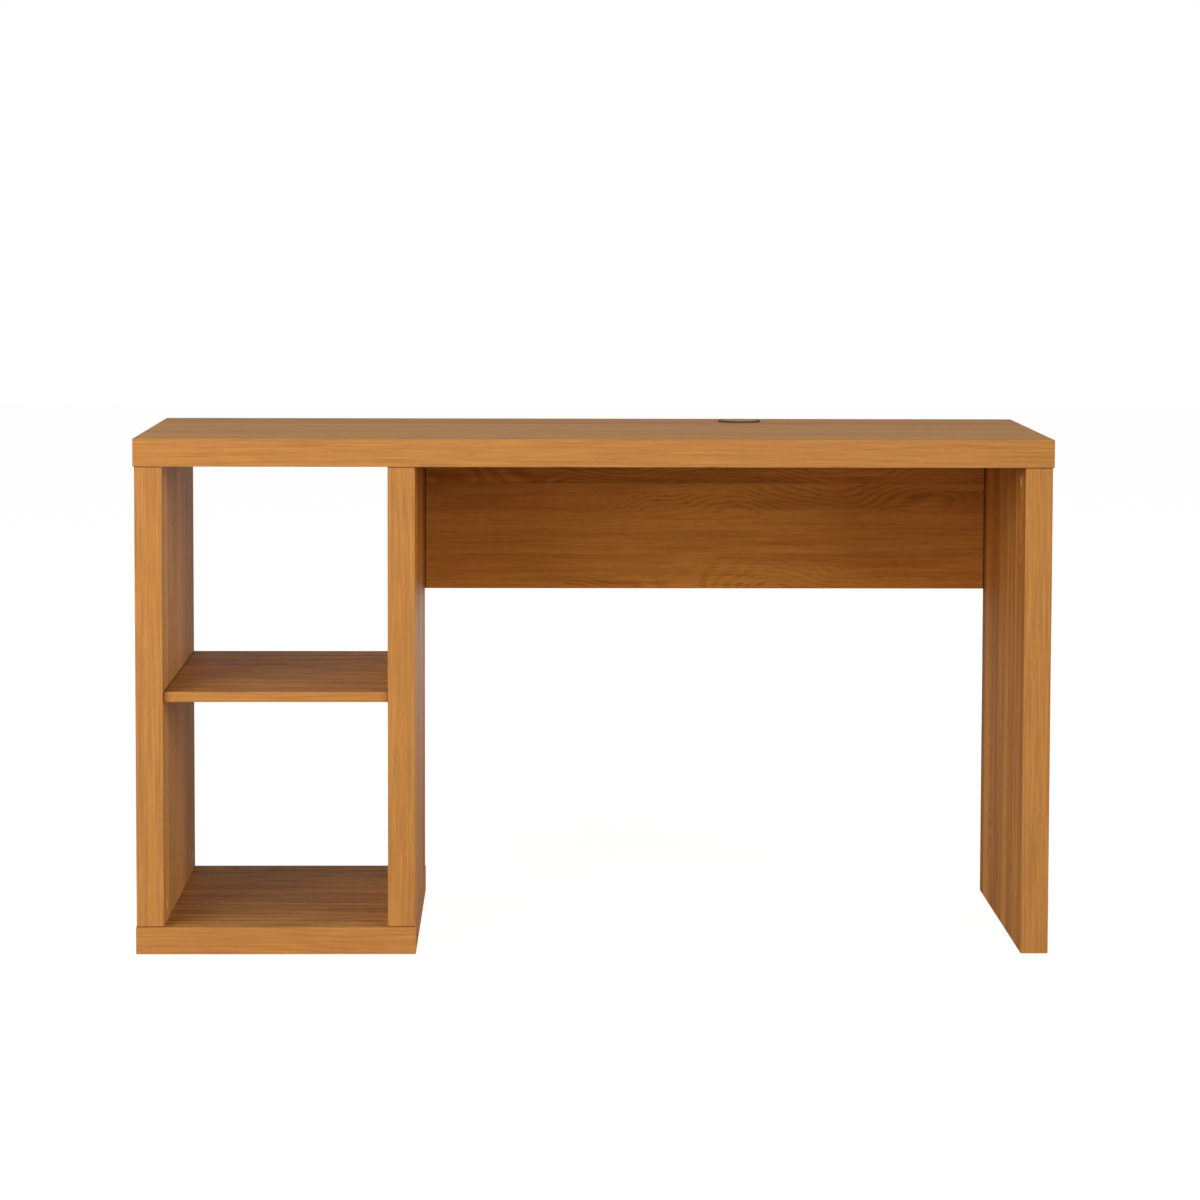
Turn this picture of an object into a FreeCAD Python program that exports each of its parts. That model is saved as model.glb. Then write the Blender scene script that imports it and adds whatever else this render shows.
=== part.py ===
import FreeCAD, Part
import Sketcher
import os
import re

# Office desk: thick hollow-core panels, an open two-cubby unit on the left,
# a slab leg on the right, a modesty panel behind the knee space and a cable
# grommet in the top. Millimetres, +Z up, front towards -Y, origin on the
# floor under the middle of the desk.

SIZES = {
    # overall
    "desk_width": 1350,
    "desk_depth": 500,
    "desk_height": 765,
    "cubby_width": 330,
    "lower_cubby_height": 333,
    # thick panels
    "top_thick": 41,
    "side_thick": 40,
    "base_thick": 40,
    "top_overhang": 2,
    "base_overhang": 1,
    # what a thick panel is made of
    "skin_thick": 5,
    "band_thick": 1,
    "band_round": 0.7,
    "stile_width": 36,
    "rail_width": 60,
    "batten_width": 60,
    # thin boards
    "shelf_thick": 15,
    "shelf_setback": 10,
    "modesty_thick": 15,
    "modesty_height": 230,
    "board_end_gap": 0.4,
    # cam fittings
    "fit_gap": 0.2,
    "cam_radius": 7.5,
    "cam_setback": 24,
    "cam_edge": 50,
    "panel_cam_inset": 9.5,
    "panel_cam_depth": 14,
    "board_cam_depth": 11.5,
    "cross_length": 9,
    "cross_width": 1.6,
    "cross_depth": 3,
    "bolt_thread_radius": 3.2,
    "bolt_thread_length": 11,
    "bolt_shank_radius": 2.5,
    "bolt_neck_radius": 1.6,
    "bolt_neck_length": 3,
    "bolt_head_radius": 3,
    "bolt_head_length": 2.6,
    "cover_radius": 8.5,
    "cover_thick": 1,
    "cover_chamfer": 0.5,
    "cover_peg_radius": 2,
    "cover_peg_length": 2.5,
    # dowels
    "dowel_radius": 4,
    "dowel_length": 35,
    "dowel_seat": 10,
    "dowel_pitch": 32,
    "dowel_chamfer": 1,
    # glides
    "glide_height": 3,
    "glide_radius": 11,
    "glide_chamfer": 1.2,
    "glide_floor": 1,
    "nail_radius": 1.1,
    "nail_length": 16,
    "nail_head_radius": 4,
    "nail_head_thick": 0.8,
    # cable grommet
    "grommet_from_right": 440,
    "grommet_from_back": 76,
    "grommet_block_half": 60,
    "hole_radius": 30,
    "flange_radius": 33.5,
    "flange_height": 2.8,
    "flange_round": 1.8,
    "sleeve_wall": 1.7,
    "sleeve_length": 22,
    "rib_height": 0.6,
    "rib_width": 1.4,
    "lip_width": 2,
    "lip_thick": 1.5,
    "lid_thick": 2.2,
    "lid_round": 0.5,
    "lid_gap": 0.3,
    "notch_width": 18,
    "notch_inner_radius": 11.2,
    "lug_thick": 1.6,
    "lug_length": 6,
    "pivot_radius": 2.5,
    "pivot_gap": 0.08,
    "pivot_head_radius": 4.2,
    "pivot_head_thick": 1.2,
    "shutter_thick": 1.2,
    "shutter_gap": 0.3,
    "shutter_hub_radius": 6,
    "shutter_lead": 2.5,
    "shutter_sweep": 52,
    "thumb_rib_width": 1.2,
    "thumb_rib_length": 5,
    "thumb_rib_radius": 14.5,
    "thumb_rib_angle": 19.5,
}

RIB_COUNT = 8
LUG_ANGLES = (110, 190, 270)
LUG_SWEEP = 24
NOTCH_TURN = 180
# The most of a wall that a rounding may take
ROUND_SHARE = 0.9

X = FreeCAD.Vector(1, 0, 0)
Y = FreeCAD.Vector(0, 1, 0)
Z = FreeCAD.Vector(0, 0, 1)

doc = FreeCAD.newDocument("OfficeDesk")
sheet = doc.addObject("Spreadsheet::Sheet", "Sizes")
for row, (size_name, size_value) in enumerate(SIZES.items(), 1):
    sheet.set(f"A{row}", size_name)
    sheet.set(f"B{row}", str(size_value))
    sheet.setAlias(f"B{row}", size_name)
doc.recompute()

nodes = []

# Levels and faces of the desk, written in the sheet's words
left_outer = "(-desk_width / 2 + top_overhang)"
left_inner = f"({left_outer} + side_thick)"
divider_left = f"({left_inner} + cubby_width)"
divider_right = f"({divider_left} + side_thick)"
leg_outer = "(desk_width / 2 - top_overhang)"
leg_inner = f"({leg_outer} - side_thick)"
left_middle = f"({left_inner} - side_thick / 2)"
divider_middle = f"({divider_left} + side_thick / 2)"
leg_middle = f"({leg_inner} + side_thick / 2)"
underside = "(desk_height - top_thick)"
base_top = "(glide_height + base_thick)"
side_half = "(desk_depth / 2 - top_overhang)"
base_half = f"({side_half} + base_overhang)"
shelf_bottom = f"({base_top} + lower_cubby_height)"
shelf_middle = f"({shelf_bottom} + shelf_thick / 2)"
modesty_bottom = f"({underside} - modesty_height)"
modesty_middle = f"({side_half} - modesty_thick / 2)"
grommet_x = "(desk_width / 2 - grommet_from_right)"
grommet_y = "(desk_depth / 2 - grommet_from_back)"


def in_sheet(text):
    """Point each size word of an expression at its cell."""
    return re.sub(r"[a-z_]+", lambda word: "Sizes." + word[0] if word[0] in SIZES else word[0], str(text))


def size_of(text):
    """The present value of an expression."""
    return float(doc.Sizes.evalExpression(in_sheet(text)))


def bind(item, **expressions):
    """Bind properties of a document object to sizes."""
    for prop, text in expressions.items():
        item.setExpression(prop, in_sheet(text))
    return item


def place(item, x, y, z, turn=None):
    """Stand an object at a bound point, with a fixed turn."""
    item.Placement = FreeCAD.Placement(FreeCAD.Vector(), turn or FreeCAD.Rotation())
    for axis, text in zip("xyz", (x, y, z)):
        item.setExpression("Placement.Base." + axis, in_sheet(text))
    return item


def facing(x_to, z_to):
    """The turn that points an object's X and Z along two square directions."""
    return FreeCAD.Rotation(x_to, z_to.cross(x_to), z_to, "ZXY")


def node(item, name):
    """Name a finished sub-part, which is one file."""
    item.Label = name
    nodes.append(item)
    return item


def box(name, low, size):
    item = doc.addObject("Part::Box", name)
    bind(item, Length=size[0], Width=size[1], Height=size[2])
    return place(item, *low)


def cylinder(name, radius, height, at=(0, 0, 0), turn=None):
    item = doc.addObject("Part::Cylinder", name)
    bind(item, Radius=radius, Height=height)
    return place(item, *at, turn)


def group(name, items):
    item = doc.addObject("Part::Compound", name)
    item.Links = items
    return item


def fuse(name, items):
    item = doc.addObject("Part::MultiFuse", name)
    item.Shapes = items
    return item


def cut(base, tools):
    """Cut a list of tools out of one solid."""
    if not tools:
        return base
    base.Label = base.Name + "_blank"
    item = doc.addObject("Part::Cut", base.Name + "_cut")
    item.Base = base
    item.Tool = tools[0] if len(tools) == 1 else group(base.Name + "_tools", tools)
    return item


def copy_of(master, name, at, turn):
    item = doc.addObject("App::Link", name)
    item.LinkedObject = master
    return place(item, *at, turn)


def outline(body, name, role, points):
    """A closed straight-sided sketch whose corners are bound to sizes."""
    sketch = body.newObject("Sketcher::SketchObject", name)
    plane = next(item for item in body.Origin.OriginFeatures if item.Role == role)
    sketch.AttachmentSupport = [(plane, "")]
    sketch.MapMode = "FlatFace"
    corners = [FreeCAD.Vector(size_of(along), size_of(up), 0) for along, up in points]
    count = len(corners)
    for index in range(count):
        sketch.addGeometry(Part.LineSegment(corners[index], corners[(index + 1) % count]), False)
    for index in range(count):
        sketch.addConstraint(Sketcher.Constraint("Coincident", index, 2, (index + 1) % count, 1))
    for index, point in enumerate(points):
        for kind, text, value in zip(("DistanceX", "DistanceY"), point, corners[index]):
            number = sketch.addConstraint(Sketcher.Constraint(kind, -1, 1, index, 1, value))
            label = f"{kind[-1].lower()}_{index}"
            sketch.renameConstraint(number, label)
            sketch.setExpression("Constraints." + label, in_sheet(text))
    return sketch


def turned(name, points):
    """A body turned about its own Z axis from a radius and height profile."""
    body = doc.addObject("PartDesign::Body", name)
    sketch = outline(body, name + "_profile", "XZ_Plane", points)
    spin = body.newObject("PartDesign::Revolution", name + "_turn")
    spin.Profile = sketch
    spin.ReferenceAxis = (sketch, ["V_Axis"])
    spin.Angle = 360
    doc.recompute()
    return body


def round_edges(body, name, radius, chosen):
    """Round the edges of a body that a test picks."""
    base = body.Tip
    picked = [f"Edge{n}" for n, edge in enumerate(base.Shape.Edges, 1) if chosen(edge)]
    feature = body.newObject("PartDesign::Fillet", name)
    feature.Base = (base, picked)
    bind(feature, Radius=radius)
    doc.recompute()
    return feature


# Edge bands

def edge_band(name, centre, outward, across, width, length):
    """A thin strip glued over a panel's edge, its two outer corners rounded."""
    body = doc.addObject("PartDesign::Body", name)
    half = f"{width} / 2"
    points = [("0", f"-({half})"), ("band_thick", f"-({half})"), ("band_thick", half), ("0", half)]
    sketch = outline(body, name + "_profile", "XY_Plane", points)
    strip = body.newObject("PartDesign::Pad", name + "_strip")
    strip.Profile = sketch
    strip.SideType = "Symmetric"
    bind(strip, Length=length)
    doc.recompute()
    outer = size_of("band_thick")

    def on_outer_corner(edge):
        along = edge.Vertexes[1].Point - edge.Vertexes[0].Point
        return abs(edge.CenterOfMass.x - outer) < 1e-6 and abs(along.y) < 1e-6

    round_edges(body, name + "_round", f"min(band_round; {ROUND_SHARE} * band_thick)", on_outer_corner)
    return place(body, *centre, facing(outward, outward.cross(across)))


# Cam fittings and dowels: each master stands at the origin and is copied to its joints

def cam_drilling(name, inset, depth):
    """What is drilled for one cam: its bore, the bolt's channel and the thread hole."""
    bore = cylinder(
        name + "_bore", "cam_radius + fit_gap", f"{depth} + fit_gap + cover_thick",
        at=(f"{inset} + cover_thick", 0, "cam_setback"), turn=facing(Z, -X))
    channel = cylinder(name + "_channel", "bolt_head_radius + fit_gap", "cam_setback")
    thread = cylinder(
        name + "_thread", "bolt_thread_radius + fit_gap", "bolt_thread_length + fit_gap",
        at=(0, 0, "-(bolt_thread_length + fit_gap)"))
    return fuse(name, [bore, channel, thread])


def cam_lock(name, inset, depth):
    """A cam drum with a cross recess in its face and a way in for the bolt's head."""
    drum = cylinder(name + "_drum", "cam_radius", depth, at=(0, 0, f"-({depth})"))
    entry = cylinder(
        name + "_entry", "bolt_head_radius + fit_gap", "cam_radius + fit_gap + bolt_head_length",
        at=("-(cam_radius + fit_gap)", 0, f"-({inset})"), turn=facing(-Z, X))
    bar = ("cross_length", "cross_width", "cross_depth")
    across = box(name + "_across", ("-cross_length / 2", "-cross_width / 2", "-cross_depth"), bar)
    bar = ("cross_width", "cross_length", "cross_depth")
    upright = box(name + "_upright", ("-cross_width / 2", "-cross_length / 2", "-cross_depth"), bar)
    peg_hole = cylinder(
        name + "_peg_hole", "cover_peg_radius + fit_gap", "cross_depth", at=(0, 0, "-cross_depth"))
    return cut(drum, [entry, fuse(name + "_recess", [across, upright, peg_hole])])


panel_inset = "panel_cam_inset"
shelf_inset = "(shelf_thick / 2)"
modesty_inset = "(modesty_thick / 2)"

panel_drilling = cam_drilling("panel_cam_drilling", panel_inset, "panel_cam_depth")
shelf_drilling = cam_drilling("shelf_cam_drilling", shelf_inset, "board_cam_depth")
modesty_drilling = cam_drilling("modesty_cam_drilling", modesty_inset, "board_cam_depth")
panel_cam = cam_lock("panel_cam", panel_inset, "panel_cam_depth")
shelf_cam = cam_lock("shelf_cam", shelf_inset, "board_cam_depth")
modesty_cam = cam_lock("modesty_cam", modesty_inset, "board_cam_depth")

head_start = "(cam_setback - bolt_head_length / 2)"
head_end = "(cam_setback + bolt_head_length / 2)"
neck_start = f"({head_start} - bolt_neck_length)"
cam_bolt = turned("cam_bolt", [
    ("0", "-bolt_thread_length"),
    ("bolt_thread_radius", "-bolt_thread_length"),
    ("bolt_thread_radius", "0"),
    ("bolt_shank_radius", "0"),
    ("bolt_shank_radius", neck_start),
    ("bolt_neck_radius", neck_start),
    ("bolt_neck_radius", head_start),
    ("bolt_head_radius", head_start),
    ("bolt_head_radius", head_end),
    ("0", head_end),
])

cover = turned("cover", [
    ("0", "-cover_peg_length"),
    ("cover_peg_radius", "-cover_peg_length"),
    ("cover_peg_radius", "0"),
    ("cover_radius", "0"),
    ("cover_radius", "cover_thick - cover_chamfer"),
    ("cover_radius - cover_chamfer", "cover_thick"),
    ("0", "cover_thick"),
])

dowel_end = "(dowel_length - dowel_seat)"
dowel = turned("dowel", [
    ("0", "-dowel_seat"),
    ("dowel_radius - dowel_chamfer", "-dowel_seat"),
    ("dowel_radius", "dowel_chamfer - dowel_seat"),
    ("dowel_radius", f"{dowel_end} - dowel_chamfer"),
    ("dowel_radius - dowel_chamfer", dowel_end),
    ("0", dowel_end),
])
dowel_drilling = fuse("dowel_drilling", [
    cylinder(
        "dowel_hole_panel", "dowel_radius + fit_gap", "dowel_seat + fit_gap",
        at=(0, 0, "-(dowel_seat + fit_gap)")),
    cylinder("dowel_hole_end", "dowel_radius + fit_gap", f"{dowel_end} + fit_gap"),
])

panel_cams = []
board_cams = []
cam_bolts = []
covers = []
dowels = []


def fit_cam(name, point, cover_side, into, inset, cam, drilling, cams):
    """Put a cam, its bolt and its cover at one joint and return the joint's drilling."""
    at_cam = []
    for start, side, way in zip(point, cover_side, into):
        at_cam.append(f"{start} + {inset} * ({side}) + cam_setback * ({way})")
    cams.append(copy_of(cam, name + "_cam", at_cam, facing(into, cover_side)))
    covers.append(copy_of(cover, name + "_cover", at_cam, facing(into, cover_side)))
    cam_bolts.append(copy_of(cam_bolt, name + "_bolt", point, facing(cover_side, into)))
    return copy_of(drilling, name + "_drilling", point, facing(cover_side, into))


def fit_dowel(name, point, cover_side, into):
    """Put a dowel at one joint and return its drilling."""
    dowels.append(copy_of(dowel, name + "_dowel", point, facing(cover_side, into)))
    return copy_of(dowel_drilling, name + "_dowel_drilling", point, facing(cover_side, into))


cam_row = f"({side_half} - cam_edge)"
dowel_row = f"({cam_row} - dowel_pitch)"


def panel_joint(name, cam_x, dowel_x, level, cover_side, into):
    """Two cams and two dowels between an upright panel's end and a flat panel."""
    tools = []
    for end, sign in (("front", "-"), ("back", "")):
        point = (cam_x, sign + cam_row, level)
        tools.append(fit_cam(
            f"{name}_{end}", point, cover_side, into, panel_inset, panel_cam, panel_drilling, panel_cams))
        tools.append(fit_dowel(f"{name}_{end}", (dowel_x, sign + dowel_row, level), cover_side, into))
    return tools


def board_joint(name, points, dowel_point, cover_side, into, inset, cam, drilling):
    """Two cams and one dowel between a thin board's end and an upright panel."""
    tools = []
    for number, point in enumerate(points, 1):
        tools.append(fit_cam(
            f"{name}_{number}", point, cover_side, into, inset, cam, drilling, board_cams))
    tools.append(fit_dowel(name, dowel_point, cover_side, into))
    return tools


left_cam_x = f"({left_inner} - {panel_inset})"
divider_cam_x = f"({divider_left} + {panel_inset})"
leg_cam_x = f"({leg_inner} + {panel_inset})"
left_to_top = panel_joint("left_to_top", left_cam_x, left_middle, underside, X, -Z)
divider_to_top = panel_joint("divider_to_top", divider_cam_x, divider_middle, underside, -X, -Z)
leg_to_top = panel_joint("leg_to_top", leg_cam_x, leg_middle, underside, -X, -Z)
left_to_base = panel_joint("left_to_base", left_cam_x, left_middle, base_top, X, Z)
divider_to_base = panel_joint("divider_to_base", divider_cam_x, divider_middle, base_top, -X, Z)


def shelf_joint(name, x, into):
    rows = (f"(-{side_half} + shelf_setback + cam_edge)", cam_row)
    points = [(x, row, shelf_middle) for row in rows]
    dowel_point = (x, "shelf_setback / 2", shelf_middle)
    return board_joint(name, points, dowel_point, -Z, into, shelf_inset, shelf_cam, shelf_drilling)


def modesty_joint(name, x, into):
    rows = (f"({modesty_bottom} + cam_edge)", f"({underside} - cam_edge)")
    points = [(x, modesty_middle, row) for row in rows]
    dowel_point = (x, modesty_middle, f"{underside} - modesty_height / 2")
    return board_joint(name, points, dowel_point, Y, into, modesty_inset, modesty_cam, modesty_drilling)


shelf_to_left = shelf_joint("shelf_to_left", left_inner, X)
shelf_to_divider = shelf_joint("shelf_to_divider", divider_left, -X)
modesty_to_divider = modesty_joint("modesty_to_divider", divider_right, X)
modesty_to_leg = modesty_joint("modesty_to_leg", leg_inner, -X)

node(group("panel_cam_locks", panel_cams), "panel_cam_locks")
node(group("board_cam_locks", board_cams), "board_cam_locks")
node(group("cam_bolts", cam_bolts), "cam_bolts")
node(group("cam_covers", covers), "cam_covers")
node(group("dowels", dowels), "dowels")


# Nail-on glides under the base and the right leg

nail_head_top = "(glide_floor + nail_head_thick)"
nail_tip = "(glide_height + nail_length)"
glide = turned("glide", [
    ("0", "0"),
    ("glide_radius - glide_chamfer", "0"),
    ("glide_radius", "glide_chamfer"),
    ("glide_radius", "glide_height"),
    ("nail_radius + fit_gap", "glide_height"),
    ("nail_radius + fit_gap", f"{nail_head_top} + fit_gap"),
    ("nail_head_radius + fit_gap", f"{nail_head_top} + fit_gap"),
    ("nail_head_radius + fit_gap", "glide_floor"),
    ("0", "glide_floor"),
])
nail = turned("nail", [
    ("0", "glide_floor"),
    ("nail_head_radius", "glide_floor"),
    ("nail_head_radius", nail_head_top),
    ("nail_radius", nail_head_top),
    ("nail_radius", f"{nail_tip} - 2 * nail_radius"),
    ("0", nail_tip),
])
nail_pilot = cylinder(
    "nail_pilot_hole", "nail_radius + fit_gap", "nail_length + fit_gap", at=(0, 0, "glide_height"))
nail_drilling = group("nail_drilling", [nail_pilot])

glides = []
nails = []


def fit_glides(name, x):
    """Two glides under one upright and the pilot holes of their nails."""
    tools = []
    for end, sign in (("front", "-"), ("back", "")):
        point = (x, sign + cam_row, 0)
        glides.append(copy_of(glide, f"{name}_{end}_glide", point, None))
        nails.append(copy_of(nail, f"{name}_{end}_nail", point, None))
        tools.append(copy_of(nail_drilling, f"{name}_{end}_pilot", point, None))
    return tools


left_nails = fit_glides("left", left_middle)
divider_nails = fit_glides("divider", divider_middle)
leg_nails = fit_glides("leg", leg_middle)
node(group("glides", glides), "glides")
node(group("glide_nails", nails), "glide_nails")


# Hollow panels: two skins over a frame of stiles, rails and battens

WORLD_AXES = {"flat": (0, 1, 2), "upright": (2, 1, 0)}


def member(name, lie, low, size):
    """A straight piece given by a panel's length, width and thickness directions."""
    order = WORLD_AXES[lie]
    world_low = [low[order.index(axis)] for axis in range(3)]
    world_size = [size[order.index(axis)] for axis in range(3)]
    return box(name, world_low, world_size)


def hollow_panel(name, lie, low, size, skins, rails, battens, drillings, end_band="0"):
    """Skins, stiles, rails and battens of one thick panel, each its own node."""
    along, across, level = low
    length, width, thick = size
    core_along = f"({along} + {end_band})"
    core_length = f"({length} - 2 * {end_band})"
    core_across = f"({across} + band_thick)"
    core_width = f"({width} - 2 * band_thick)"
    core_level = f"({level} + skin_thick)"
    core_thick = f"({thick} - 2 * skin_thick)"
    rail_across = f"({core_across} + stile_width)"
    rail_span = f"({core_width} - 2 * stile_width)"

    def piece(part, piece_low, piece_size):
        made = member(f"{name}_{part}", lie, piece_low, piece_size)
        return cut(made, drillings.get(part, []))

    for part, skin_level in zip(skins, (level, f"{level} + {thick} - skin_thick")):
        skin = piece(part, (core_along, core_across, skin_level), (core_length, core_width, "skin_thick"))
        node(skin, f"{name}_{part}")
    for part, start in (("front_stile", core_across), ("back_stile", f"{rail_across} + {rail_span}")):
        stile = piece(part, (core_along, start, core_level), (core_length, "stile_width", core_thick))
        node(stile, f"{name}_{part}")
    for part, start in zip(rails, (core_along, f"{core_along} + {core_length} - rail_width")):
        rail = piece(part, (start, rail_across, core_level), ("rail_width", rail_span, core_thick))
        node(rail, f"{name}_{part}")
    made = []
    for number, middle in enumerate(battens, 1):
        start = f"{middle} - batten_width / 2"
        made.append(piece(
            f"batten_{number}", (start, rail_across, core_level), ("batten_width", rail_span, core_thick)))
    if len(made) == 1:
        node(made[0], f"{name}_batten")
    else:
        node(group(f"{name}_battens", made), f"{name}_battens")


def long_bands(name, lie, low, size):
    """The bands on the front and back edges of a thick panel."""
    along, across, level = (f"({start} + {extent} / 2)" for start, extent in zip(low, size))
    order = WORLD_AXES[lie]
    thickness_way = (X, Y, Z)[order[2]]
    edge = f"({size[1]} / 2 - band_thick)"
    bands = []
    for end, outward, row in (("front", -Y, f"{across} - {edge}"), ("back", Y, f"{across} + {edge}")):
        middle = (along, row, level)
        centre = [middle[order.index(axis)] for axis in range(3)]
        bands.append(edge_band(f"{name}_{end}_band", centre, outward, thickness_way, size[2], size[0]))
    node(group(f"{name}_edge_bands", bands), f"{name}_edge_bands")


def end_bands(name, low, size):
    """The bands on the two ends of a flat panel, between its long bands."""
    middle, across, level = (f"({start} + {extent} / 2)" for start, extent in zip(low, size))
    edge = f"({size[0]} / 2 - band_thick)"
    between = f"({size[1]} - 2 * band_thick)"
    bands = []
    for end, outward, x in (("left", -X, f"{middle} - {edge}"), ("right", X, f"{middle} + {edge}")):
        bands.append(edge_band(f"{name}_{end}_band", (x, across, level), outward, Z, size[2], between))
    node(group(f"{name}_end_bands", bands), f"{name}_end_bands")


# Desk top, with a solid block where the cable hole goes through

top_low = ("(-desk_width / 2)", "(-desk_depth / 2)", underside)
top_size = ("desk_width", "desk_depth", "top_thick")
block_to_batten = "(grommet_block_half + batten_width / 2)"
cable_hole = cylinder(
    "cable_hole", "hole_radius", "top_thick + 2 * flange_height",
    at=(grommet_x, grommet_y, f"{underside} - flange_height"))
hollow_panel(
    "top", "flat", top_low, top_size, ("lower_skin", "upper_skin"), ("left_rail", "right_rail"),
    (divider_middle, f"({grommet_x} - {block_to_batten})", f"({grommet_x} + {block_to_batten})"),
    {
        "lower_skin": left_to_top + divider_to_top + leg_to_top + [cable_hole],
        "upper_skin": [cable_hole],
        "back_stile": [cable_hole],
        "left_rail": left_to_top,
        "right_rail": leg_to_top,
        "batten_1": divider_to_top,
    },
    end_band="band_thick")
long_bands("top", "flat", top_low, top_size)
end_bands("top", top_low, top_size)

block_front = f"({grommet_y} - grommet_block_half)"
block_back = "(desk_depth / 2 - band_thick - stile_width)"
block = box(
    "grommet_block",
    (f"{grommet_x} - grommet_block_half", block_front, f"{underside} + skin_thick"),
    ("2 * grommet_block_half", f"{block_back} - {block_front}", "top_thick - 2 * skin_thick"))
node(cut(block, [cable_hole]), "top_grommet_block")


# Base board under the two uprights of the cubby unit

base_low = (f"({left_outer} - base_overhang)", f"(-{base_half})", "glide_height")
base_size = ("(2 * side_thick + cubby_width + 2 * base_overhang)", f"(2 * {base_half})", "base_thick")
hollow_panel(
    "base", "flat", base_low, base_size, ("lower_skin", "upper_skin"), ("left_rail", "right_rail"),
    (f"({left_inner} + cubby_width / 2)",),
    {
        "lower_skin": left_nails + divider_nails,
        "upper_skin": left_to_base + divider_to_base,
        "left_rail": left_to_base + left_nails,
        "right_rail": divider_to_base + divider_nails,
    },
    end_band="band_thick")
long_bands("base", "flat", base_low, base_size)
end_bands("base", base_low, base_size)


# Uprights: left side and divider stand on the base, the right leg reaches the floor

upright_size = (f"({underside} - {base_top})", f"(2 * {side_half})", "side_thick")
leg_size = (f"({underside} - glide_height)", f"(2 * {side_half})", "side_thick")
left_low = (base_top, f"(-{side_half})", left_outer)
divider_low = (base_top, f"(-{side_half})", divider_left)
leg_low = ("glide_height", f"(-{side_half})", leg_inner)

hollow_panel(
    "left_side", "upright", left_low, upright_size, ("outer_skin", "inner_skin"),
    ("bottom_rail", "top_rail"), (shelf_middle,),
    {
        "inner_skin": left_to_top + left_to_base + shelf_to_left,
        "bottom_rail": left_to_base,
        "top_rail": left_to_top,
        "batten_1": shelf_to_left,
    })
long_bands("left_side", "upright", left_low, upright_size)

hollow_panel(
    "divider", "upright", divider_low, upright_size, ("left_skin", "right_skin"),
    ("bottom_rail", "top_rail"), (shelf_middle,),
    {
        "left_skin": divider_to_top + divider_to_base + shelf_to_divider,
        "right_skin": modesty_to_divider,
        "back_stile": modesty_to_divider,
        "bottom_rail": divider_to_base,
        "top_rail": divider_to_top,
        "batten_1": shelf_to_divider,
    })
long_bands("divider", "upright", divider_low, upright_size)

hollow_panel(
    "right_leg", "upright", leg_low, leg_size, ("inner_skin", "outer_skin"),
    ("bottom_rail", "top_rail"), (f"(glide_height + {leg_size[0]} / 2)",),
    {
        "inner_skin": leg_to_top + modesty_to_leg,
        "back_stile": modesty_to_leg,
        "bottom_rail": leg_nails,
        "top_rail": leg_to_top,
    })
long_bands("right_leg", "upright", leg_low, leg_size)


# Fixed shelf, set back from the front

shelf_front = f"(-{side_half} + shelf_setback)"
shelf_length = "(cubby_width - 2 * board_end_gap)"
shelf_depth = f"({side_half} - {shelf_front})"
shelf_board = box(
    "shelf_board",
    (f"{left_inner} + board_end_gap", f"{shelf_front} + band_thick", shelf_bottom),
    (shelf_length, f"{shelf_depth} - 2 * band_thick", "shelf_thick"))
node(cut(shelf_board, shelf_to_left + shelf_to_divider), "shelf_board")
shelf_low = (f"({left_inner} + board_end_gap)", shelf_front, shelf_bottom)
long_bands("shelf", "flat", shelf_low, (shelf_length, shelf_depth, "shelf_thick"))


# Modesty panel between the divider and the right leg, flush with their back edges

modesty_length = f"({leg_inner} - {divider_right} - 2 * board_end_gap)"
modesty_board = box(
    "modesty_board",
    (f"{divider_right} + board_end_gap", f"{side_half} - modesty_thick", f"{modesty_bottom} + band_thick"),
    (modesty_length, "modesty_thick", "modesty_height - band_thick"))
node(cut(modesty_board, modesty_to_divider + modesty_to_leg), "modesty_board")
modesty_band_at = (
    f"{divider_right} + board_end_gap + {modesty_length} / 2", modesty_middle,
    f"{modesty_bottom} + band_thick")
modesty_band = edge_band("modesty_band", modesty_band_at, -Z, Y, "modesty_thick", modesty_length)
node(modesty_band, "modesty_edge_band")


# Cable grommet: a flanged liner, a lid that lifts out and a shutter turning under the lid

grommet_at = (grommet_x, grommet_y, "desk_height")
sleeve_outer = "(hole_radius - rib_height - fit_gap)"
sleeve_inner = f"({sleeve_outer} - sleeve_wall)"
lip_inner = f"({sleeve_inner} - lip_width)"
ledge = "(flange_height - lid_thick)"
lip_bottom = f"({ledge} - lip_thick)"
lid_radius = f"({sleeve_inner} - lid_gap)"
lug_outer = f"({lip_inner} - lid_gap)"


def circle_at(radius, level):
    """A test that picks the round edge of one radius at one height."""
    def chosen(edge):
        round_edge = isinstance(edge.Curve, Part.Circle)
        return round_edge and abs(edge.Curve.Radius - radius) < 1e-6 and abs(edge.CenterOfMass.z - level) < 1e-6
    return chosen


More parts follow.
